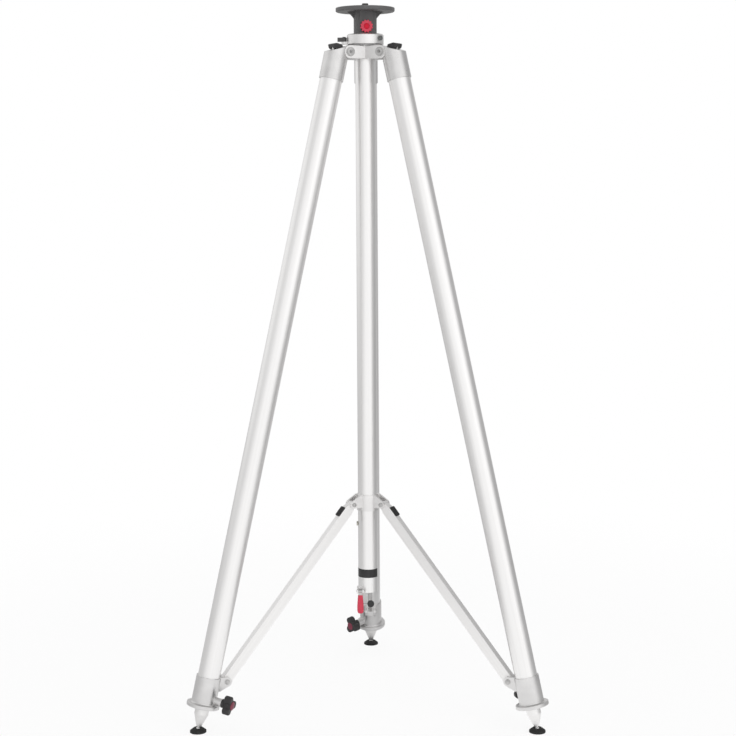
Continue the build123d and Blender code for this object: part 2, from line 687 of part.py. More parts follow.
for leg, azimuth in legs.items():
    # Leg cap: sleeve on the tube with a sloping roof, a hip tongue inward and a lug for the catch
    with BuildPart() as leg_cap:
        with BuildSketch(leg_section(azimuth, hip_along - cap_skirt_drop)):
            Circle(tube_radius + cap_wall)
        extrude(amount=cap_skirt_drop + tube_radius)
        fillet(leg_cap.edges().sort_by(leg_axis(azimuth))[0], cap_rim_round)
        with BuildSketch(leg_side(azimuth)):
            with Locations((-hip_inset, hip_along)):
                Circle(tongue_radius)
            with Locations((-hip_inset / 2, hip_along)):
                Rectangle(hip_inset, 2 * tongue_radius)
        extrude(amount=tongue_width / 2, both=True)
        for side in (-1, 1):
            with BuildSketch(leg_side(azimuth, side * tongue_width / 2)):
                with Locations((-hip_inset, hip_along)):
                    Circle(cheek_radius + free_gap)
            extrude(amount=-side * tube_radius, mode=Mode.SUBTRACT)
        roof = Plane(
            origin=leg_spot(azimuth, roof_spot[0], roof_spot[1]),
            x_dir=tangent(azimuth),
            z_dir=outward(azimuth) * roof_normal[0] + along(azimuth) * roof_normal[1],
        )
        split(bisect_by=roof, keep=Keep.BOTTOM)
        with BuildSketch(leg_side(azimuth)):
            with Locations(catch_pin_spot):
                Circle(catch_lug_radius)
            with Locations(roof_point(catch_pin_distance, -side_gap)):
                Rectangle(2 * catch_lug_radius, 2 * side_gap, rotation=-cap_roof_angle)
            make_hull()
            with Locations(catch_pin_spot):
                Circle(catch_pin_radius + running_fit, mode=Mode.SUBTRACT)
        extrude(amount=catch_lug_width / 2, both=True)
        with BuildSketch(leg_section(azimuth, hip_along - cap_skirt_drop)):
            Circle(tube_radius)
        extrude(amount=cap_skirt_drop - tube_top_drop, mode=Mode.SUBTRACT)
        with BuildSketch(leg_side(azimuth)):
            with Locations((-hip_inset, hip_along)):
                Circle(hip_pin_radius + running_fit)
        extrude(amount=tube_radius, both=True, mode=Mode.SUBTRACT)
    save(leg_cap, f"leg_cap_{leg}")

    # Leg catch: wedge on the cap's roof, hollow below for the lug, with its pin near the outer end
    with BuildPart() as leg_catch:
        with BuildSketch(leg_side(azimuth)):
            with Locations(catch_pin_spot):
                Circle(catch_barrel_radius)
            with Locations(roof_point(catch_pin_distance + catch_corner, catch_pin_rise + catch_corner)):
                Circle(catch_corner_radius)
            nose_middle = catch_nose_start + catch_nose_length / 2
            with Locations(roof_point(nose_middle, side_gap + catch_nose_height / 2)):
                Rectangle(catch_nose_length, catch_nose_height, rotation=-cap_roof_angle)
            make_hull()
        extrude(amount=catch_width / 2, both=True)
        with BuildSketch(leg_side(azimuth)):
            with Locations(catch_pocket_spots):
                Circle(catch_lug_radius + side_gap)
            make_hull()
        extrude(amount=catch_lug_width / 2 + side_gap, both=True, mode=Mode.SUBTRACT)
        with BuildSketch(leg_side(azimuth)):
            with Locations(catch_pin_spot):
                Circle(catch_pin_radius)
        extrude(amount=catch_width / 2, both=True)
    save(leg_catch, f"leg_catch_{leg}")

    # Leg tube: seated in the cap above and in the foot casting below
    with BuildPart() as leg_tube:
        with BuildSketch(leg_section(azimuth, tube_bottom)):
            Circle(tube_radius)
            Circle(tube_bore, mode=Mode.SUBTRACT)
        extrude(amount=tube_top - tube_bottom)
    save(leg_tube, f"leg_tube_{leg}")

    # Pin fixed in the foot casting: the strut's pivot, with a flat head on either ear
    with BuildPart() as casting_pins:
        with BuildSketch(leg_side(azimuth)):
            with Locations((-strut_pin_inset, strut_pin_along)):
                Circle(strut_pin_radius)
        extrude(amount=fork_half + ear_thickness, both=True)
        for side in (-1, 1):
            with BuildSketch(leg_side(azimuth, side * (fork_half + ear_thickness))):
                with Locations((-strut_pin_inset, strut_pin_along)):
                    Circle(strut_pin_head_radius)
            extrude(amount=-side * strut_pin_head_height)
    save(casting_pins, f"casting_pins_{leg}")

    # Foot casting: sleeve with a flange at its foot, strut ears inward and a boss for the clamp knob
    with BuildPart() as foot_casting:
        flange_top = flange_bottom + flange_rim_height
        with BuildSketch(leg_side(azimuth)):
            with BuildLine():
                Polyline((0, flange_bottom), (0, casting_top), (casting_radius, casting_top))
                Line((casting_radius, casting_top), (casting_radius, flange_top))
                Line((casting_radius, flange_top), (flange_radius, flange_top))
                Line((flange_radius, flange_top), (flange_radius, flange_bottom))
                Line((flange_radius, flange_bottom), (0, flange_bottom))
            make_face()
            fillet(vertices().group_by(Axis.X)[1].sort_by(Axis.Y)[0], ledge_hollow)
            fillet(vertices().group_by(Axis.X)[-1], flange_round)
        revolve(axis=leg_axis(azimuth))
        for side in (-1, 1):
            with BuildSketch(leg_side(azimuth, side * fork_half)):
                with Locations((-strut_pin_inset, strut_pin_along)):
                    Circle(ear_radius)
                with Locations((-tube_radius, casting_top)):
                    Rectangle(2 * casting_wall, ear_root_height, align=(Align.CENTER, Align.MAX))
                make_hull()
            extrude(amount=-side * ear_thickness)
        with BuildSketch(leg_side(azimuth)):
            with Locations((-strut_pin_inset, strut_pin_along)):
                Circle(strut_pin_radius)
        extrude(amount=fork_half + ear_thickness, both=True, mode=Mode.SUBTRACT)
        with BuildSketch(knob_face(azimuth, 0)):
            Circle(knob_boss_radius)
        extrude(amount=knob_boss_reach)
        with BuildSketch(knob_face(azimuth, 0)):
            Circle(knob_screw_radius + running_fit)
        extrude(amount=knob_boss_reach, mode=Mode.SUBTRACT)
        with BuildSketch(leg_section(azimuth, tube_bottom)):
            Circle(tube_radius)
        extrude(amount=casting_top - tube_bottom + ear_radius, mode=Mode.SUBTRACT)
        with BuildSketch(leg_section(azimuth, flange_bottom)):
            Circle(casting_bore)
        extrude(amount=tube_bottom - flange_bottom, mode=Mode.SUBTRACT)
    save(foot_casting, f"foot_casting_{leg}")

    # Clamp knob with three lobes, and the screw that it turns
    knob_back = knob_boss_reach + side_gap
    with BuildPart() as foot_knob:
        with BuildSketch(knob_face(azimuth, knob_back + knob_neck_length)):
            Circle(knob_core_radius)
            with PolarLocations(knob_lobe_offset, knob_lobes, knob_lobe_turn):
                Circle(knob_lobe_radius)
            fillet(vertices(), knob_hollow)
        extrude(amount=knob_thickness)
        knob_ends = foot_knob.faces().filter_by(knob_face(azimuth, 0))
        fillet(knob_ends.edges(), knob_round)
        with BuildSketch(knob_face(azimuth, knob_back)):
            Circle(knob_neck_radius)
        extrude(amount=knob_neck_length)
        with BuildSketch(knob_face(azimuth, knob_back)):
            Circle(knob_screw_radius)
        extrude(amount=knob_neck_length + knob_screw_hold, mode=Mode.SUBTRACT)
    save(foot_knob, f"foot_knob_{leg}")

    with BuildPart() as knob_screw:
        with BuildSketch(knob_face(azimuth, inner_leg_radius + tip_gap)):
            Circle(knob_screw_radius)
        extrude(amount=knob_back + knob_neck_length + knob_screw_hold - inner_leg_radius - tip_gap)
    save(knob_screw, f"knob_screw_{leg}")

    # Inner leg: the sliding tube, guided by a bush at its upper end
    with BuildPart() as inner_leg:
        with BuildSketch(leg_section(azimuth, flange_bottom)):
            Circle(inner_leg_radius)
            Circle(inner_leg_bore, mode=Mode.SUBTRACT)
        extrude(amount=inner_leg_length)
    save(inner_leg, f"inner_leg_{leg}")

    with BuildPart() as guide_bush:
        with BuildSketch(leg_section(azimuth, inner_leg_top - guide_bush_height)):
            Circle(tube_bore - running_fit)
            Circle(inner_leg_radius, mode=Mode.SUBTRACT)
        extrude(amount=guide_bush_height)
    save(guide_bush, f"guide_bush_{leg}")

    # Foot cone: plug in the inner leg, a cone below it, and the ball that stands in the pad
    with BuildPart() as foot_cone:
        plug_top = flange_bottom + cone_plug_height
        lip_bottom = flange_bottom - cone_lip
        neck_start = ball_along + sqrt(ball_radius**2 - ball_neck_radius**2)
        with BuildSketch(leg_side(azimuth)):
            with BuildLine():
                Polyline((0, ball_along - ball_radius), (0, plug_top), (inner_leg_bore, plug_top))
                Line((inner_leg_bore, plug_top), (inner_leg_bore, flange_bottom))
                Line((inner_leg_bore, flange_bottom), (inner_leg_radius, flange_bottom))
                Line((inner_leg_radius, flange_bottom), (inner_leg_radius, lip_bottom))
                Line((inner_leg_radius, lip_bottom), (cone_top_radius, lip_bottom))
                Polyline((cone_top_radius, lip_bottom), (cone_top_radius, cone_shoulder_along))
                Polyline((cone_top_radius, cone_shoulder_along), (cone_end_radius, cone_end_along))
                Polyline((cone_end_radius, cone_end_along), (ball_neck_radius, cone_end_along))
                Polyline((ball_neck_radius, cone_end_along), (ball_neck_radius, neck_start))
                ball_foot = (0, ball_along - ball_radius)
                ThreePointArc((ball_neck_radius, neck_start), (ball_radius, ball_along), ball_foot)
            make_face()
        revolve(axis=leg_axis(azimuth))
    save(foot_cone, f"foot_cone_{leg}")

    # Foot pad: rubber foot with a socket round the ball and a wide mouth
    with BuildPart() as foot_pad:
        ball_place = foot_radius - ball_along * lean_sin
        socket_radius = ball_radius + ball_fit
        throat_radius = sqrt(socket_radius**2 - pad_throat_rise**2)
        mouth_radius = throat_radius + (pad_top_rise - pad_throat_rise) * tan(radians(pad_mouth_angle))
        pad_top = ball_height + pad_top_rise
        throat_height = ball_height + pad_throat_rise
        with BuildSketch(radial_plane(azimuth)):
            with BuildLine():
                Polyline(
                    (ball_place, ball_height - socket_radius),
                    (ball_place, 0),
                    (ball_place + pad_radius, 0),
                    (ball_place + pad_radius, pad_skirt_height),
                    (ball_place + pad_top_radius, pad_top),
                    (ball_place + mouth_radius, pad_top),
                    (ball_place + throat_radius, throat_height),
                )
                ThreePointArc(
                    (ball_place + throat_radius, throat_height),
                    (ball_place + socket_radius, ball_height),
                    (ball_place, ball_height - socket_radius),
                )
            make_face()
        revolve(axis=Axis(radial_face(azimuth, ball_place, 0).origin, upward))
    save(foot_pad, f"foot_pad_{leg}")

    # Strut: channel bar from the foot casting up to the hub
    with BuildPart() as strut:
        full_length = strut_length - strut_taper
        with BuildSketch(strut_side(azimuth)):
            Circle(strut_depth / 2)
            with Locations((full_length / 2, 0)):
                Rectangle(full_length, strut_depth)
            with Locations((strut_length, 0)):
                Circle(strut_eye_radius)
            with BuildLine():
                Polyline(
                    (full_length, strut_depth / 2),
                    (full_length, -strut_depth / 2),
                    (strut_length, -strut_eye_radius),
                    (strut_length, strut_eye_radius),
                    close=True,
                )
            make_face()
            Circle(strut_pin_radius + running_fit, mode=Mode.SUBTRACT)
            with Locations((strut_length, 0)):
                Circle(hub_pin_radius + side_gap, mode=Mode.SUBTRACT)
        extrude(amount=strut_width / 2, both=True)
        with BuildSketch(strut_side(azimuth)):
            with Locations((channel_margin, strut_depth / 2 - strut_wall)):
                Rectangle(full_length - channel_margin, strut_depth, align=(Align.MIN, Align.MAX))
        extrude(amount=strut_width / 2 - strut_wall, both=True, mode=Mode.SUBTRACT)
    save(strut, f"strut_{leg}")

    # Bumper on the upper edge of the strut, where it folds against the leg tube
    with BuildPart() as strut_bumper:
        with BuildSketch(strut_side(azimuth)):
            with Locations((strut_length - bumper_place, strut_depth / 2)):
                Rectangle(bumper_length, bumper_height, align=(Align.CENTER, Align.MIN))
            fillet(vertices().group_by(Axis.Y)[-1], bumper_round)
        extrude(amount=strut_width / 2, both=True)
    save(strut_bumper, f"strut_bumper_{leg}")
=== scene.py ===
import json
from math import atan2, cos, degrees, pi, radians, sin
import bpy
from mathutils import Matrix, Vector


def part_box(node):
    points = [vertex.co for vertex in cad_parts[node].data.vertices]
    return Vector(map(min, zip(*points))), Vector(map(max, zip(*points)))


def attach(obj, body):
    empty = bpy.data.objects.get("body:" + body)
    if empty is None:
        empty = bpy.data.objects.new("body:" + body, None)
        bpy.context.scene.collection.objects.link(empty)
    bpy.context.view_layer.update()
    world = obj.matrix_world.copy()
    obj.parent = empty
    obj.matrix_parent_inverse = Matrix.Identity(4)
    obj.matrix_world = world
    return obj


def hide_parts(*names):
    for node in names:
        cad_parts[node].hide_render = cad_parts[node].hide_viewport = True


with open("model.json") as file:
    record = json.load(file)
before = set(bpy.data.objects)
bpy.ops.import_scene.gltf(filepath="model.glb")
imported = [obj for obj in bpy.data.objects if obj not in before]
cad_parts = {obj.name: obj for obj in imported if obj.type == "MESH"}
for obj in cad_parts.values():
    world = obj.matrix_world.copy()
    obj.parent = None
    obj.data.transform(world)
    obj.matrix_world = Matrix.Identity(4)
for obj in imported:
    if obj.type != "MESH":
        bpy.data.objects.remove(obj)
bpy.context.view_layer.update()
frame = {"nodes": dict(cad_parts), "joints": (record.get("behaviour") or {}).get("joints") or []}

bpy.ops.object.select_all(action="DESELECT")


# Crown: a sand-cast aluminium hub with three forks, blasted and then tumbled,
# so that its skin is even and fine grained with a soft satin shine.

cad = frame["nodes"]


class Shade:
    """One output of a shader node. Sums and products of outputs add Math nodes."""

    def __init__(self, tree, socket=None):
        self.tree = tree
        self.socket = socket

    def node(self, kind, settings, inputs, out=0):
        """Adds a node with its settings and the values or links of its sockets."""
        made = self.tree.nodes.new(kind)
        for key, value in settings.items():
            setattr(made, key, value)
        for key, value in inputs.items():
            if isinstance(value, Shade):
                self.tree.links.new(value.socket, made.inputs[key])
            else:
                made.inputs[key].default_value = value
        return Shade(self.tree, made.outputs[out])

    def math(self, operation, first, second):
        return self.node("ShaderNodeMath", {"operation": operation}, {0: first, 1: second})

    def __add__(self, other):
        return self.math("ADD", self, other)

    def __radd__(self, other):
        return self.math("ADD", other, self)

    def __sub__(self, other):
        return self.math("SUBTRACT", self, other)

    def __rsub__(self, other):
        return self.math("SUBTRACT", other, self)

    def __mul__(self, other):
        return self.math("MULTIPLY", self, other)

    def __rmul__(self, other):
        return self.math("MULTIPLY", other, self)

    def noise(self, scale, detail=4.0, roughness=0.55):
        inputs = {"Vector": self, "Scale": scale, "Detail": detail, "Roughness": roughness}
        return self.node("ShaderNodeTexNoise", {}, inputs)

    def between(self, low, high):
        inputs = {"Value": self, "From Min": low, "From Max": high}
        return self.node("ShaderNodeMapRange", {"interpolation_type": "SMOOTHSTEP"}, inputs)

    def blend(self, first, second):
        return self.node("ShaderNodeMix", {"data_type": "RGBA"}, {0: self, 6: first, 7: second}, out=2)

    def relief(self, strength, depth):
        inputs = {"Strength": strength, "Distance": depth, "Height": self}
        return self.node("ShaderNodeBump", {}, inputs, out="Normal")


def start_finish(name, constants):
    """A new material: its Principled shader with constant sockets, and its object coordinates."""
    finish = bpy.data.materials.new(name)
    finish.use_nodes = True
    shader = finish.node_tree.nodes["Principled BSDF"]
    for socket, value in constants.items():
        shader.inputs[socket].default_value = value
    place = Shade(finish.node_tree).node("ShaderNodeTexCoord", {}, {}, out="Object")
    return finish, shader, place


def feed(node, inputs):
    """Links outputs to the sockets of a node that is already there."""
    for socket, value in inputs.items():
        value.tree.links.new(value.socket, node.inputs[socket])


def paint(names, finish):
    """Gives solids of the frame their finish."""
    for name in names:
        cad[name].data.materials.clear()
        cad[name].data.materials.append(finish)


def cast_metal(name, dark, pale, grain, rough):
    """Blasted casting: clouded tone, a fine pitted skin and scattered rub marks."""
    finish, shader, place = start_finish(name, {"Metallic": 1.0})
    cloud = place.noise(scale=34.0, detail=5.0).between(0.32, 0.7)
    skin = place.noise(scale=grain, detail=3.0, roughness=0.7)
    rubbed = place.noise(scale=210.0, detail=6.0, roughness=0.7).between(0.56, 0.74)
    feed(shader, {"Base Color": (cloud * 0.7 + rubbed * 0.3).blend(dark, pale)})
    feed(shader, {"Roughness": rough + skin * 0.12 + cloud * 0.06 - rubbed * 0.1})
    feed(shader, {"Normal": (skin + rubbed * 0.2).relief(strength=0.2, depth=0.0003)})
    return finish


silver_cast = cast_metal(
    "silver_casting",
    dark=(0.78, 0.77, 0.765, 1),
    pale=(0.86, 0.85, 0.845, 1),
    grain=1400.0,
    rough=0.36,
)
paint(["crown_casting"], silver_cast)


# Hip pins: turned steel pins pressed through the forks. On each flat round head
# sits a shallow cap with a hexagon socket for the key that tightens the hinge.

legs = ("left", "right", "rear")
joints = {joint["name"]: joint for joint in frame["joints"]}
crease = radians(35)


def turned_steel(name, dark, pale, rough):
    """Steel from the lathe: fine tool marks under a thin, uneven smear of oil."""
    finish, shader, place = start_finish(name, {"Metallic": 1.0})
    marks = place.noise(scale=900.0, detail=2.0)
    smear = place.noise(scale=60.0, detail=4.0).between(0.3, 0.75)
    feed(shader, {"Base Color": smear.blend(dark, pale)})
    feed(shader, {"Roughness": rough + marks * 0.1 + smear * 0.08})
    feed(shader, {"Normal": marks.relief(strength=0.1, depth=0.0001)})
    return finish


def pick(piece, kind, test):
    """Opens a piece for editing with the faces, edges or points selected that pass the test."""
    bpy.ops.object.mode_set(mode="EDIT")
    bpy.ops.mesh.select_mode(type=kind)
    bpy.ops.mesh.select_all(action="DESELECT")
    bpy.ops.object.mode_set(mode="OBJECT")
    mesh = piece.data
    elements = {"FACE": mesh.polygons, "EDGE": mesh.edges, "VERT": mesh.vertices}
    for element in elements[kind]:
        element.select = test(element)
    bpy.ops.object.mode_set(mode="EDIT")


def looks_up(face):
    """Whether a face looks up or nearly up."""
    return face.normal.z > 0.9


def lies_flat(face):
    """Whether a face looks straight up."""
    return face.normal.z > 0.99


def settle(piece, name, finish):
    """Closes a new piece: name, material, smooth sides, transforms applied."""
    bpy.ops.object.mode_set(mode="OBJECT")
    bpy.ops.object.transform_apply(location=True, rotation=True, scale=True)
    bpy.ops.object.shade_smooth_by_angle(angle=crease)
    piece.name = name
    piece.data.name = name
    piece.data.materials.clear()
    piece.data.materials.append(finish)
    piece.select_set(False)


def place_copy(pattern, name, spot, facing, body):
    """A copy of a pattern piece, its own +Z turned to a direction, that rides on a body."""
    copy = pattern.copy()
    copy.data = pattern.data.copy()
    copy.name = name
    copy.data.name = name
    bpy.context.scene.collection.objects.link(copy)
    copy.data.transform(Matrix.Translation(spot) @ facing.to_track_quat("Z", "Y").to_matrix().to_4x4())
    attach(copy, body)


def place_pair(pattern, name, middle, side, reach, body, ends=("front", "back")):
    """Copies of a pattern piece at both ends of a pin, as far from its middle as it reaches."""
    for end, way in zip(ends, (side, -side)):
        place_copy(pattern, f"{name}_{end}", middle + way * reach, way, body)


def pivot(name):
    """Where a hinge's axis starts, and its direction."""
    return Vector(joints[name]["pos_m"]), Vector(joints[name]["axis"]).normalized()


steel = turned_steel(
    "turned_steel",
    dark=(0.46, 0.455, 0.45, 1),
    pale=(0.60, 0.595, 0.59, 1),
    rough=0.24,
)
paint(["hinge_pins"], steel)

pin_end = 0.0278
cap_radius = 0.0086
cap_height = 0.0014
cap_arris = 0.0005
socket_radius = 0.0042
socket_land = 0.0012
socket_edge = socket_radius * 1.02
socket_depth = cap_height * 0.8

bpy.ops.mesh.primitive_cylinder_add(vertices=48, radius=cap_radius, depth=cap_height)
pin_cap = bpy.context.object
pick(pin_cap, "FACE", looks_up)
bpy.ops.mesh.bevel(offset=cap_arris, segments=3, affect="EDGES")
pick(pin_cap, "FACE", lies_flat)
bpy.ops.mesh.inset(thickness=cap_radius - socket_radius - socket_land)
bpy.ops.mesh.delete(type="ONLY_FACE")
bpy.ops.mesh.primitive_circle_add(vertices=6, radius=socket_radius, location=(0, 0, cap_height / 2))
bpy.ops.mesh.select_all(action="DESELECT")
bpy.ops.mesh.select_mode(type="EDGE")
bpy.ops.mesh.select_non_manifold()
bpy.ops.mesh.bridge_edge_loops()
pick(pin_cap, "VERT", lambda point: point.co.xy.length < socket_edge and point.co.z > 0)
bpy.ops.mesh.select_mode(type="EDGE")
bpy.ops.mesh.extrude_edges_move(TRANSFORM_OT_translate={"value": (0, 0, -socket_depth)})
bpy.ops.mesh.edge_face_add()
bpy.ops.mesh.select_all(action="SELECT")
bpy.ops.mesh.normals_make_consistent(inside=False)
settle(pin_cap, "hinge_cap", steel)
for leg in legs:
    hip, side = pivot(f"leg_{leg}_fold")
    place_pair(pin_cap, f"hinge_cap_{leg}", hip, side, pin_end + cap_height / 2, "crown")
bpy.data.objects.remove(pin_cap)


# Column: a drawn aluminium tube down the tripod's axis, brushed lengthwise and
# anodised natural, so that it shows fine straight lines and a broad soft shine.

up = Vector((0, 0, 1))


def drawn_metal(name, along, dark, pale, rough):
    """Anodised metal with its drawing lines along a direction, and faint handling marks."""
    line_scale = (2200.0, 2200.0, 9.0)
    band_scale = (260.0, 260.0, 2.5)
    finish, shader, place = start_finish(name, {"Metallic": 1.0})
    about = along.cross(up)
    turn_axis = about.normalized() if about.length else up
    inputs = {"Vector": place, "Axis": turn_axis, "Angle": along.angle(up)}
    turned = place.node("ShaderNodeVectorRotate", {"rotation_type": "AXIS_ANGLE"}, inputs)
    fine = turned.node("ShaderNodeMapping", {}, {"Vector": turned, "Scale": line_scale})
    broad = turned.node("ShaderNodeMapping", {}, {"Vector": turned, "Scale": band_scale})
    lines = fine.noise(scale=1.0, detail=3.0, roughness=0.6)
    bands = broad.noise(scale=1.0, detail=2.0).between(0.3, 0.7)
    touched = place.noise(scale=26.0, detail=6.0, roughness=0.62).between(0.5, 0.75)
    feed(shader, {"Base Color": (lines * 0.5 + bands * 0.5).blend(dark, pale)})
    feed(shader, {"Roughness": rough + lines * 0.1 + bands * 0.03 + touched * 0.06})
    feed(shader, {"Normal": lines.relief(strength=0.06, depth=0.0001)})
    return finish


silver = (0.865, 0.855, 0.85, 1)
bright_silver = (0.925, 0.918, 0.912, 1)
tube_rough = 0.25
column_tube = drawn_metal("column_tube", up, silver, bright_silver, tube_rough)
paint(["center_column"], column_tube)


# Label on the column: a black film wrapped round the front of the tube above its
# lower end, left bare, with a slight sheen and a few rub marks.

column_low, column_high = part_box("center_column")
axis = Vector(((column_low.x + column_high.x) / 2, (column_low.y + column_high.y) / 2, 0))
column_radius = (column_high.x - column_low.x) / 2
label_low = 0.3013
label_high = 0.3213
label_film = 0.00035
label_gap = 0.00008
label_left = -118.0
label_right = 70.0
label_black = (0.026, 0.025, 0.026, 1)
label_rubbed = (0.046, 0.045, 0.046, 1)

label_finish, label_shader, label_place = start_finish("label_film", {"Specular IOR Level": 0.35})
rubbed = label_place.noise(scale=120.0, detail=5.0).between(0.45, 0.8)
feed(label_shader, {"Base Color": rubbed.blend(label_black, label_rubbed)})
feed(label_shader, {"Roughness": 0.3 + rubbed * 0.2})


def from_front(spot):
    """Degrees round the column from the front, to the right."""
    return degrees(atan2(spot.x - axis.x, axis.y - spot.y))


bpy.ops.mesh.primitive_cylinder_add(
    vertices=180,
    radius=column_radius + label_gap,
    depth=label_high - label_low,
    end_fill_type="NOTHING",
    location=axis + Vector((0, 0, (label_low + label_high) / 2)),
)
label = bpy.context.object
bpy.ops.object.transform_apply(location=True)
pick(label, "FACE", lambda face: not label_left < from_front(face.center) < label_right)
bpy.ops.mesh.delete(type="FACE")
bpy.ops.object.mode_set(mode="OBJECT")
film = label.modifiers.new("film", "SOLIDIFY")
film.thickness = label_film
film.offset = 1.0
bpy.ops.object.modifier_apply(modifier="film")
settle(label, "column_label", label_finish)
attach(label, "crown")


# Hub stop: a cheese-head screw in the left of the column, zinc plated and passivated
# to a pale straw tone, below the spreader hub.

zinc = turned_steel(
    "zinc_plate",
    dark=(0.44, 0.42, 0.37, 1),
    pale=(0.58, 0.56, 0.50, 1),
    rough=0.34,
)
paint(["hub_stop"], zinc)


# Collar seal: a ring of grey rubber between crown and collar, which keeps grit out of
# the column. Its mid grey is partly painted shade, for the shaded seam between crown and collar.


def soft_rubber(name, dark, dusty):
    """Moulded rubber: fine pores, and dust where it isn't rubbed clean."""
    finish, shader, place = start_finish(name, {"Specular IOR Level": 0.25})
    pores = place.noise(scale=1100.0, detail=3.0, roughness=0.7)
    dust = place.noise(scale=75.0, detail=5.0).between(0.5, 0.8)
    feed(shader, {"Base Color": dust.blend(dark, dusty)})
    feed(shader, {"Roughness": 0.62 + pores * 0.14 + dust * 0.1})
    feed(shader, {"Normal": pores.relief(strength=0.22, depth=0.0002)})
    return finish


# Mid grey for the seal: partly the rubber's own tone, partly painted shade of the seam between crown and
# collar.
grey_rubber = soft_rubber(
    "grey_rubber",
    dark=(0.40, 0.395, 0.395, 1),
    dusty=(0.48, 0.475, 0.473, 1),
)
paint(["collar_seal"], grey_rubber)


# Clamp collar: a cast ring, turned bright on its outside and slit on its left, which
# grips the elevating post.

bright_cast = cast_metal(
    "bright_casting",
    dark=(0.80, 0.79, 0.785, 1),
    pale=(0.88, 0.87, 0.865, 1),
    grain=1700.0,
    rough=0.32,
)
paint(["clamp_collar"], bright_cast)


# Collar bolt: a hexagon-head bolt of dull grey steel through the right of the collar,
# forged, left as rolled and screwed home until the slit draws together.

dull_steel = turned_steel(
    "dull_bolt",
    dark=(0.16, 0.17, 0.17, 1),
    pale=(0.28, 0.29, 0.29, 1),
    rough=0.38,
)
paint(["collar_nut"], dull_steel)


# Collar lever: moulded in dark grey glass-filled nylon with a fine matt grain. A slotted
# screw of blackened steel holds it down on its pin.


def moulded(name, colour, worn, grain, rough):
    """Nylon from a grained mould, rubbed paler in places."""
    finish, shader, place = start_finish(name, {"Specular IOR Level": 0.4})
    grains = place.noise(scale=grain, detail=2.0, roughness=0.6)
    rub = place.noise(scale=95.0, detail=5.0).between(0.48, 0.8)
    feed(shader, {"Base Color": rub.blend(colour, worn)})
    feed(shader, {"Roughness": rough + grains * 0.12 + rub * 0.08})
    feed(shader, {"Normal": grains.relief(strength=0.15, depth=0.0002)})
    return finish


grey_nylon = moulded(
    "grey_nylon",
    colour=(0.090, 0.088, 0.089, 1),
    worn=(0.145, 0.143, 0.144, 1),
    grain=1500.0,
    rough=0.34,
)
black_steel = turned_steel(
    "black_oxide_steel",
    dark=(0.05, 0.05, 0.055, 1),
    pale=(0.11, 0.11, 0.12, 1),
    rough=0.34,
)
paint(["collar_lever"], grey_nylon)

screw_radius = 0.0036
screw_height = 0.0016
screw_arris = 0.0005
slot_half = 0.0005
slot_depth = 0.0008
slot_inside = slot_half * 0.9

bpy.ops.mesh.primitive_cylinder_add(vertices=40, radius=screw_radius, depth=screw_height)
lever_screw = bpy.context.object
pick(lever_screw, "FACE", looks_up)
bpy.ops.mesh.bevel(offset=screw_arris, segments=3, affect="EDGES")
for slot_side in (-slot_half, slot_half):
    bpy.ops.mesh.select_all(action="SELECT")
    bpy.ops.mesh.bisect(plane_co=(0, slot_side, 0), plane_no=(0, 1, 0))
pick(lever_screw, "FACE", lambda face: looks_up(face) and abs(face.center.y) < slot_inside)
bpy.ops.mesh.extrude_region_move(TRANSFORM_OT_translate={"value": (0, 0, -slot_depth)})
settle(lever_screw, "collar_lever_screw", black_steel)
lever_pin, lever_axis = pivot("collar_lever_turn")
spot = Vector((lever_pin.x, lever_pin.y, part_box("collar_lever")[1].z + screw_height / 2))
place_copy(lever_screw, "collar_screw", spot, lever_axis, "collar_lever")
bpy.data.objects.remove(lever_screw)


# Elevating post: the next size down of the column's tube, drawn and anodised with it.
# It slides in the column, is gripped by the collar and carries the plate.

paint(["elevating_post"], column_tube)


# Instrument plate: a cast aluminium plate with its ribbed neck, stoved in black crackle
# enamel. Its upper arris is rubbed pale where instruments are slid on and off.

plate_low, plate_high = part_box("instrument_plate")
plate_radius = (plate_high.x - plate_low.x) / 2
plate_arris = 0.0016
enamel_black = (0.100, 0.098, 0.099, 1)
enamel_scuffed = (0.140, 0.138, 0.139, 1)
enamel_worn = (0.30, 0.297, 0.295, 1)

enamel, enamel_shader, enamel_place = start_finish("black_enamel", {"Specular IOR Level": 0.5})
shift = {"Vector": enamel_place, "Location": -axis, "Scale": (1, 1, 0)}
centred = enamel_place.node("ShaderNodeMapping", {}, shift)
from_axis = centred.node("ShaderNodeVectorMath", {"operation": "LENGTH"}, {0: centred}, out="Value")
enamel_height = enamel_place.node("ShaderNodeSeparateXYZ", {}, {"Vector": enamel_place}, out="Z")
cells = {"Vector": enamel_place, "Scale": 900.0}
crackle = enamel_place.node("ShaderNodeTexVoronoi", {"feature": "F1"}, cells)
scuffed = enamel_place.noise(scale=70.0, detail=6.0, roughness=0.65).between(0.5, 0.8)
broken = enamel_place.noise(scale=180.0, detail=5.0, roughness=0.7).between(0.35, 0.6)
near_rim = from_axis.between(plate_radius - plate_arris, plate_radius)
near_top = enamel_height.between(plate_high.z - plate_arris, plate_high.z)
worn = near_rim * near_top * broken
coated = scuffed.blend(enamel_black, enamel_scuffed)
feed(enamel_shader, {"Base Color": worn.blend(coated, enamel_worn)})
feed(enamel_shader, {"Roughness": 0.4 + crackle * 0.14 + scuffed * 0.08 - worn * 0.12})
feed(enamel_shader, {"Normal": crackle.relief(strength=0.16, depth=0.0002)})
paint(["instrument_plate"], enamel)


# Fixing stud: turned from steel bar, with its thread cut all the way up and a
# dished end, blackened like the plate.

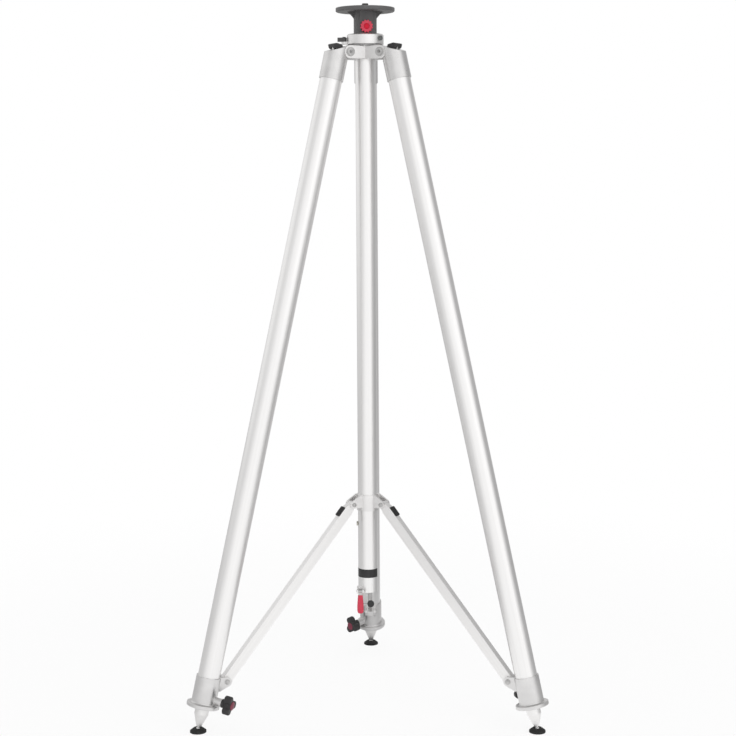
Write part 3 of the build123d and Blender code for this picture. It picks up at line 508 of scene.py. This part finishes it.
stud_low, stud_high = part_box("fixing_stud")
stud_radius = (stud_high.x - stud_low.x) / 2
stud_height = stud_high.z - plate_high.z
stud_arris = 0.0006
dish_rim = 0.0022
dish_depth = 0.0003
thread_pitch = 0.00231
thread_depth = 0.0011
thread_sink = 0.0002
thread_width = thread_pitch * 0.999
thread_steps = 48
lead_in = 0.0007
core_radius = stud_radius - thread_depth
stud_steel = turned_steel(
    "browned_steel",
    dark=(0.13, 0.125, 0.125, 1),
    pale=(0.22, 0.215, 0.21, 1),
    rough=0.3,
)

bpy.ops.mesh.primitive_cylinder_add(
    vertices=64,
    radius=core_radius,
    depth=stud_height,
    location=axis + Vector((0, 0, plate_high.z + stud_height / 2)),
)
stud_core = bpy.context.object
pick(stud_core, "FACE", looks_up)
bpy.ops.mesh.bevel(offset=stud_arris, segments=2, affect="EDGES")
pick(stud_core, "FACE", lies_flat)
bpy.ops.mesh.inset(thickness=dish_rim)
bpy.ops.transform.translate(value=(0, 0, -dish_depth))
settle(stud_core, "stud_core", stud_steel)

turns = int(stud_height / thread_pitch)
thread_low = stud_high.z - lead_in - (turns + 1) * thread_pitch
thread_profile = (
    (core_radius - thread_sink, 0.0, 0.0),
    (stud_radius, 0.0, thread_pitch * 0.5),
    (core_radius - thread_sink, 0.0, thread_width),
)
bpy.ops.mesh.primitive_circle_add(vertices=3, radius=thread_depth)
thread = bpy.context.object
for point, corner in zip(thread.data.vertices, thread_profile):
    point.co = corner
helix = thread.modifiers.new("helix", "SCREW")
helix.axis = "Z"
helix.angle = 2 * pi
helix.screw_offset = thread_pitch
helix.iterations = turns
helix.steps = thread_steps
helix.render_steps = thread_steps
helix.use_merge_vertices = True
bpy.ops.object.modifier_apply(modifier="helix")
bpy.ops.object.mode_set(mode="EDIT")
bpy.ops.mesh.select_mode(type="EDGE")
bpy.ops.mesh.select_all(action="DESELECT")
bpy.ops.mesh.select_non_manifold()
bpy.ops.mesh.edge_face_add()
bpy.ops.mesh.select_all(action="SELECT")
bpy.ops.mesh.normals_make_consistent(inside=False)
bpy.ops.object.mode_set(mode="OBJECT")
thread.location = axis + Vector((0, 0, thread_low))
settle(thread, "stud_thread", stud_steel)
stud_core.select_set(True)
thread.select_set(True)
bpy.context.view_layer.objects.active = stud_core
bpy.ops.object.join()
stud = bpy.context.object
settle(stud, "threaded_stud", stud_steel)
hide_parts("fixing_stud")
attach(stud, "plate")


# Plate knob: moulded in signal red with a low gloss and a fluted rim, on a plain
# steel screw. A deeper red cap is pressed into the dimple of its face.


def red_moulding(name, colour, bright, coat):
    """Red plastic with a fine grain and a slightly clouded colour, under a thin gloss."""
    constants = {"Coat Roughness": 0.25, "Coat Weight": coat, "Specular IOR Level": 0.2 + coat}
    finish, shader, place = start_finish(name, constants)
    cloud = place.noise(scale=130.0, detail=4.0).between(0.35, 0.75)
    grain = place.noise(scale=1300.0, detail=2.0)
    feed(shader, {"Base Color": cloud.blend(colour, bright)})
    feed(shader, {"Roughness": 0.3 + grain * 0.12 + cloud * 0.05})
    feed(shader, {"Normal": grain.relief(strength=0.1, depth=0.0002)})
    return finish


signal_red = red_moulding(
    "signal_red",
    colour=(0.62, 0.035, 0.075, 1),
    bright=(0.70, 0.05, 0.095, 1),
    coat=0.2,
)
deep_red = red_moulding(
    "deep_red",
    colour=(0.60, 0.006, 0.030, 1),
    bright=(0.66, 0.010, 0.040, 1),
    coat=0.0,
)
paint(["plate_knob"], signal_red)
paint(["plate_knob_screw"], steel)

dimple_floor = 0.009
knob_cap_radius = 0.0062
knob_cap_height = 0.0012


def domed_disc(radius, height, rim, crown, finish):
    """A round disc with a rolled rim and a raised middle, as a pattern to copy."""
    ring_shares = (0.3, 0.25, 0.2)
    bpy.ops.mesh.primitive_cylinder_add(vertices=48, radius=radius, depth=height)
    disc = bpy.context.object
    pick(disc, "FACE", looks_up)
    bpy.ops.mesh.bevel(offset=rim, segments=3, affect="EDGES")
    pick(disc, "FACE", lies_flat)
    for share in ring_shares:
        bpy.ops.mesh.inset(thickness=radius * share)
        bpy.ops.transform.translate(value=(0, 0, crown * share))
    settle(disc, "disc", finish)
    return disc


knob_cap = domed_disc(knob_cap_radius, knob_cap_height, rim=0.0003, crown=0.0006, finish=deep_red)
seat, facing = pivot("plate_knob_turn")
spot = seat + facing * (dimple_floor + knob_cap_height / 2)
place_copy(knob_cap, "plate_knob_cap", spot, facing, "plate_knob")
bpy.data.objects.remove(knob_cap)


# Lever bracket: a small clevis cast in aluminium like the crown and saddled on the
# front of the column at its foot, with two cheeks for the lever's pin.

paint(["lever_bracket"], silver_cast)


# Column lever: a red grip moulded round a flat steel shank, narrow at its neck and full
# towards its rounded end. The shank swings on a pin whose ends are peened over, and its
# cross rod carries a black button.

nylon = moulded(
    "black_nylon",
    colour=(0.028, 0.027, 0.028, 1),
    worn=(0.052, 0.051, 0.052, 1),
    grain=1500.0,
    rough=0.42,
)
paint(["lever_shank"], steel)
paint(["lever_button"], nylon)

grip_low, grip_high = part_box("column_lever")
grip_length = grip_high.z - grip_low.z
grip_corner = 0.0034
grip_narrowing = 0.75
upright_slack = 0.0001
ring_slack = 0.00005
grip_widths = {
    0.0: 0.68,
    0.02: 0.735,
    0.05: 0.76,
    0.2: 0.83,
    0.4: 0.94,
    0.58: 1.0,
    0.78: 1.0,
    0.88: 0.95,
    0.93: 0.87,
    0.965: 0.74,
    0.987: 0.58,
    1.0: 0.36,
}


def stands_upright(edge):
    """Whether an edge of the grip runs straight up."""
    first, second = (grip.data.vertices[index].co for index in edge.vertices)
    return (first - second).xy.length < upright_slack


bpy.ops.mesh.primitive_cube_add(
    size=1.0,
    location=(grip_low + grip_high) / 2,
    scale=grip_high - grip_low,
)
grip = bpy.context.object
bpy.ops.object.transform_apply(location=True, scale=True)
pick(grip, "EDGE", stands_upright)
bpy.ops.mesh.bevel(offset=grip_corner, segments=5, affect="EDGES")
for share in list(grip_widths)[1:-1]:
    bpy.ops.mesh.select_all(action="SELECT")
    bpy.ops.mesh.bisect(plane_co=(0, 0, grip_high.z - share * grip_length), plane_no=(0, 0, 1))
for share, width in grip_widths.items():
    ring = grip_high.z - share * grip_length
    pick(grip, "VERT", lambda point: abs(point.co.z - ring) < ring_slack)
    bpy.ops.transform.resize(value=(width, 1.0 - grip_narrowing + grip_narrowing * width, 1.0))
settle(grip, "lever_grip", signal_red)
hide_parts("column_lever")
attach(grip, "column_lever")

lever_pin_end = 0.008
peen_radius = 0.0027
peen_height = 0.0009

peen = domed_disc(peen_radius, peen_height, rim=0.0003, crown=0.0005, finish=steel)
lever_pivot, across = pivot("column_lever_swing")
peen_reach = lever_pin_end + peen_height / 2
peen_ends = ("left", "right")
place_pair(peen, "lever_pin_head", lever_pivot, across, peen_reach, "column_lever", peen_ends)
bpy.data.objects.remove(peen)


# Spreader hub: a cast aluminium collar with three pairs of ears, bored and brightened
# so that it slides freely up the column as the legs fold.

paint(["spreader_hub"], bright_cast)


# Hub pins: short steel rivets in the ears of the hub, which carry the upper ends of
# the struts. Each outer end is formed over to a low dome.

paint(["hub_pins"], steel)

rivet_radius = 0.0046
rivet_height = 0.0009
hub_pin_end = 0.0154
hub_pivot_radius = 0.043
hub_pins_low, hub_pins_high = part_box("hub_pins")
hub_pins_middle = Vector((0, 0, (hub_pins_low.z + hub_pins_high.z) / 2))
hub_rivet_reach = hub_pin_end + rivet_height / 2
hub_pivots = {}
rivet = domed_disc(rivet_radius, rivet_height, rim=0.0003, crown=0.0008, finish=steel)
for leg in legs:
    side = pivot(f"leg_{leg}_fold")[1]
    hub_pivots[leg] = axis + side.cross(up) * hub_pivot_radius + hub_pins_middle
    place_pair(rivet, f"hub_rivet_{leg}", hub_pivots[leg], side, hub_rivet_reach, "hub")


# Leg caps: aluminium castings pressed on the upper ends of the leg tubes, tumbled a
# little duller than the crown, each with its hip tongue and a sloping roof.

cap_cast = cast_metal(
    "cap_casting",
    dark=(0.68, 0.672, 0.668, 1),
    pale=(0.77, 0.762, 0.758, 1),
    grain=1400.0,
    rough=0.21,
)
for leg in legs:
    paint([f"leg_cap_{leg}"], cap_cast)


# Leg catches: black nylon blocks on the sloping roofs of the caps. A short steel pin
# holds each of them, and its ends show on both sides.

catch_pin_end = 0.014
pin_tip_radius = 0.0018
pin_tip_height = 0.0007
pin_tip_sink = 0.0001
pin_tip_reach = catch_pin_end + pin_tip_height / 2 - pin_tip_sink
pin_tip = domed_disc(pin_tip_radius, pin_tip_height, rim=0.0002, crown=0.0003, finish=black_steel)
for leg in legs:
    paint([f"leg_catch_{leg}"], nylon)
    catch_pivot, side = pivot(f"catch_{leg}_lift")
    body = f"catch_{leg}"
    place_pair(pin_tip, f"catch_pin_tip_{leg}", catch_pivot, side, pin_tip_reach, body)
bpy.data.objects.remove(pin_tip)


# Leg tubes: drawn and anodised like the column, 50 mm across, with the drawing lines
# along each leg. The inner legs are the next size down of the same tube.

for leg in legs:
    leg_way = -Vector(joints[f"inner_{leg}_slide"]["axis"])
    leg_metal = drawn_metal(f"leg_metal_{leg}", leg_way, silver, bright_silver, tube_rough)
    paint([f"leg_tube_{leg}", f"inner_leg_{leg}"], leg_metal)


# Foot castings: sleeves with a flange, ears for the strut and a boss for the clamp
# knob, pressed on the lower ends of the leg tubes.

foot_cast = cast_metal(
    "foot_casting",
    dark=(0.69, 0.682, 0.678, 1),
    pale=(0.78, 0.772, 0.768, 1),
    grain=1400.0,
    rough=0.27,
)
for leg in legs:
    paint([f"foot_casting_{leg}"], foot_cast)


# Strut pins at the feet: plain steel pins through the ears of the foot castings,
# riveted over on both sides with the same low domes as the pins of the hub.

strut_pin_end = 0.0154
foot_rivet_reach = strut_pin_end + rivet_height / 2
for leg in legs:
    paint([f"casting_pins_{leg}"], steel)
    foot_pivot, side = pivot(f"strut_{leg}_swing")
    place_pair(rivet, f"foot_rivet_{leg}", foot_pivot, side, foot_rivet_reach, f"leg_{leg}")
bpy.data.objects.remove(rivet)


# Clamp knobs: three-lobed black nylon knobs moulded on steel screws. A domed disc of
# dark red is snapped into each face.

insert_red = red_moulding(
    "insert_red",
    colour=(0.19, 0.034, 0.060, 1),
    bright=(0.25, 0.050, 0.082, 1),
    coat=0.0,
)
knob_depth = 0.025
insert_radius = 0.0098
insert_height = 0.0016
insert_sink = 0.0004

insert = domed_disc(insert_radius, insert_height, rim=0.0006, crown=0.0012, finish=insert_red)
for leg in legs:
    paint([f"foot_knob_{leg}"], nylon)
    paint([f"knob_screw_{leg}"], steel)
    seat, facing = pivot(f"knob_{leg}_turn")
    spot = seat + facing * (knob_depth + insert_height / 2 - insert_sink)
    place_copy(insert, f"knob_insert_{leg}", spot, facing, f"knob_{leg}")
bpy.data.objects.remove(insert)


# Guide bushes: black nylon sleeves moulded and snapped round the upper ends of the
# inner legs, so that these run true inside the outer tubes.

for leg in legs:
    paint([f"guide_bush_{leg}"], nylon)


# Foot cones: bright aluminium castings plugged and pinned into the lower ends of the
# inner legs, each turned at its tip to a ball for the pad.

cone_cast = cast_metal(
    "cone_casting",
    dark=(0.86, 0.85, 0.845, 1),
    pale=(0.92, 0.912, 0.906, 1),
    grain=1700.0,
    rough=0.32,
)
for leg in legs:
    paint([f"foot_cone_{leg}"], cone_cast)


# Foot pads: domed discs of black rubber, moulded round a socket that snaps over the
# ball of the cone, so that they tilt with the ground.

black_rubber = soft_rubber(
    "black_rubber",
    dark=(0.022, 0.022, 0.022, 1),
    dusty=(0.050, 0.049, 0.048, 1),
)
for leg in legs:
    paint([f"foot_pad_{leg}"], black_rubber)


# Struts: pressed aluminium channels between the foot castings and the hub, open on
# their lower side, pickled and anodised to a duller finish than the tubes.

strut_rough = 0.46
for leg in legs:
    strut_way = hub_pivots[leg] - pivot(f"strut_{leg}_swing")[0]
    strut_metal = drawn_metal(f"strut_metal_{leg}", strut_way, silver, bright_silver, strut_rough)
    paint([f"strut_{leg}"], strut_metal)


# Strut bumpers: small blocks of black rubber bonded to the backs of the struts near
# the hub, which keep the folded struts from knocking on the legs.

for leg in legs:
    paint([f"strut_bumper_{leg}"], black_rubber)


# Studio: a pale sheer floor that runs out to white, so that legs let down below it still
# show, inside a round paper wall that only metal shows. The wall is white in front of
# the tripod and greyer beside and behind it.

scene = bpy.context.scene
scene.view_settings.view_transform = "Standard"
wall_radius = 3.0
wall_low = -1.0
wall_high = 3.6
tone_low = 0.0
tone_high = 1.5

# Each grey side: its bearing, the cosine where it starts, its depth low down and high up.
grey_sides = (
    (106.0, 0.55, 0.62, 0.56),
    (-106.0, 0.0, 0.42, 0.08),
    (-50.0, 0.8, 0.0, 0.2),
    (180.0, 0.6, 0.3, 0.3),
)


def surround(place):
    """Tone of the studio round the tripod: greyer about some bearings, low down or high up."""
    tone_place = place.node("ShaderNodeSeparateXYZ", {}, {"Vector": place}, out="Z")
    rise = tone_place.between(tone_low, tone_high)
    flat = place.node("ShaderNodeMapping", {}, {"Vector": place, "Scale": (1.0, 1.0, 0.0)})
    ray = flat.node("ShaderNodeVectorMath", {"operation": "NORMALIZE"}, {0: flat}, out="Vector")
    tone = 1.0
    for bearing, start, low_depth, high_depth in grey_sides:
        aim = (sin(radians(bearing)), -cos(radians(bearing)), 0.0)
        settings = {"operation": "DOT_PRODUCT"}
        turned = ray.node("ShaderNodeVectorMath", settings, {0: ray, 1: aim}, out="Value")
        tone = tone - turned.between(start, 1.0) * (low_depth + rise * (high_depth - low_depth))
    return tone


def ray_kinds(root):
    """Whether a ray is the camera's own, and whether metal or glass has sent it on."""
    kinds = ("Is Camera Ray", "Is Glossy Ray", "Is Transmission Ray")
    straight, glossy, through = (root.node("ShaderNodeLightPath", {}, {}, out=kind) for kind in kinds)
    return straight, glossy + through


def grey(tone):
    return tone.node("ShaderNodeCombineColor", {}, {"Red": tone, "Green": tone, "Blue": tone})


def glow(tone):
    """A shader that gives light of a grey tone."""
    return tone.node("ShaderNodeEmission", {}, {"Color": grey(tone)})


sky_dim_low = 0.3
sky_dim_high = 0.8
sky_dim = 0.5
sky_light = 0.85

world = bpy.data.worlds.new("studio")
scene.world = world
world.use_nodes = True
root = Shade(world.node_tree)
sky_way = root.node("ShaderNodeTexCoord", {}, {}, out="Generated")
sky_height = sky_way.node("ShaderNodeSeparateXYZ", {}, {"Vector": sky_way}, out="Z")
straight, mirrored = ray_kinds(root)
mirrored_sky = 1.0 - sky_height.between(sky_dim_low, sky_dim_high) * sky_dim
sky = straight + mirrored * mirrored_sky + (1.0 - straight - mirrored) * sky_light
feed(world.node_tree.nodes["Background"], {"Color": grey(sky)})

floor_size = 30.0
floor_drop = 0.0002
floor_paint = {"Roughness": 0.9, "Base Color": (0.9, 0.9, 0.9, 1)}
sheer_near = 0.87
sheer_start = 0.7
sheer_end = 2.2
mirrored_share = 0.9

floor_finish, floor_shader, floor_place = start_finish("pale_floor", floor_paint)
straight, mirrored = ray_kinds(floor_place)
distance = floor_place.node("ShaderNodeVectorMath", {"operation": "LENGTH"}, {0: floor_place}, out="Value")
sheerness = sheer_near + distance.between(sheer_start, sheer_end) * (1.0 - sheer_near)
painted = Shade(floor_finish.node_tree, floor_shader.outputs[0])
sheer = floor_place.node("ShaderNodeBsdfTransparent", {}, {})
backing_inputs = {"Fac": straight, 1: glow(surround(floor_place)), 2: sheer}
backing = floor_place.node("ShaderNodeMixShader", {}, backing_inputs)
mixed_inputs = {"Fac": straight * sheerness + mirrored * mirrored_share, 1: painted, 2: backing}
mixed = floor_place.node("ShaderNodeMixShader", {}, mixed_inputs)
feed(floor_finish.node_tree.nodes["Material Output"], {"Surface": mixed})
bpy.ops.mesh.primitive_plane_add(size=floor_size, location=(0, 0, -floor_drop))
floor = bpy.context.object
floor.name = "floor"
bpy.ops.object.transform_apply(location=True)
floor.data.materials.append(floor_finish)

paper, paper_shader, paper_place = start_finish("paper_wall", {})
paper.node_tree.nodes.remove(paper_shader)
feed(paper.node_tree.nodes["Material Output"], {"Surface": glow(surround(paper_place))})
bpy.ops.mesh.primitive_cylinder_add(
    vertices=96,
    radius=wall_radius,
    depth=wall_high - wall_low,
    end_fill_type="NOTHING",
    location=(0, 0, (wall_low + wall_high) / 2),
)
wall = bpy.context.object
wall.name = "paper_wall"
bpy.ops.object.transform_apply(location=True)
wall.data.materials.append(paper)
wall.visible_camera = False
wall.visible_diffuse = False
wall.visible_shadow = False


def softbox(name, spot, target, size, power):
    """A square lamp, turned to a target."""
    lamp = bpy.data.lights.new(name, "AREA")
    lamp.shape = "SQUARE"
    lamp.size = size
    lamp.energy = power
    box = bpy.data.objects.new(name, lamp)
    scene.collection.objects.link(box)
    box.location = spot
    box.rotation_euler = (Vector(target) - Vector(spot)).to_track_quat("-Z", "Y").to_euler()


softbox("key_light", spot=(2.8, -3.0, 2.6), target=(0, -0.1, 0.9), size=2.6, power=26.0)
softbox("fill_light", spot=(-2.8, -3.2, 2.0), target=(0, -0.1, 0.8), size=3.0, power=3.0)


# Camera: at standing height in front of the tripod, with a long lens that keeps the
# legs straight, tipped slightly down to take in the feet.

turn = 0.0146
tip = 0.1262
roll = -0.0053
stand = Vector((0.00224, -3.60829, 1.25218))
sensor_width = 36.0
focal_pixels = 1569.3
frame_pixels = 736

ahead = Vector((0, cos(tip), -sin(tip)))
rise = Vector((0, sin(tip), cos(tip)))
right = Vector((1, 0, 0))
rolled_right = right * cos(roll) + rise * sin(roll)
rolled_rise = rise * cos(roll) - right * sin(roll)
view = Matrix((rolled_right, rolled_rise, -ahead)).transposed().to_4x4()
view.translation = stand
lens = bpy.data.cameras.new("camera")
lens.sensor_width = sensor_width
lens.lens = focal_pixels / frame_pixels * sensor_width
camera = bpy.data.objects.new("camera", lens)
scene.collection.objects.link(camera)
camera.matrix_world = Matrix.Translation(axis) @ Matrix.Rotation(turn, 4, "Z") @ view
scene.camera = camera
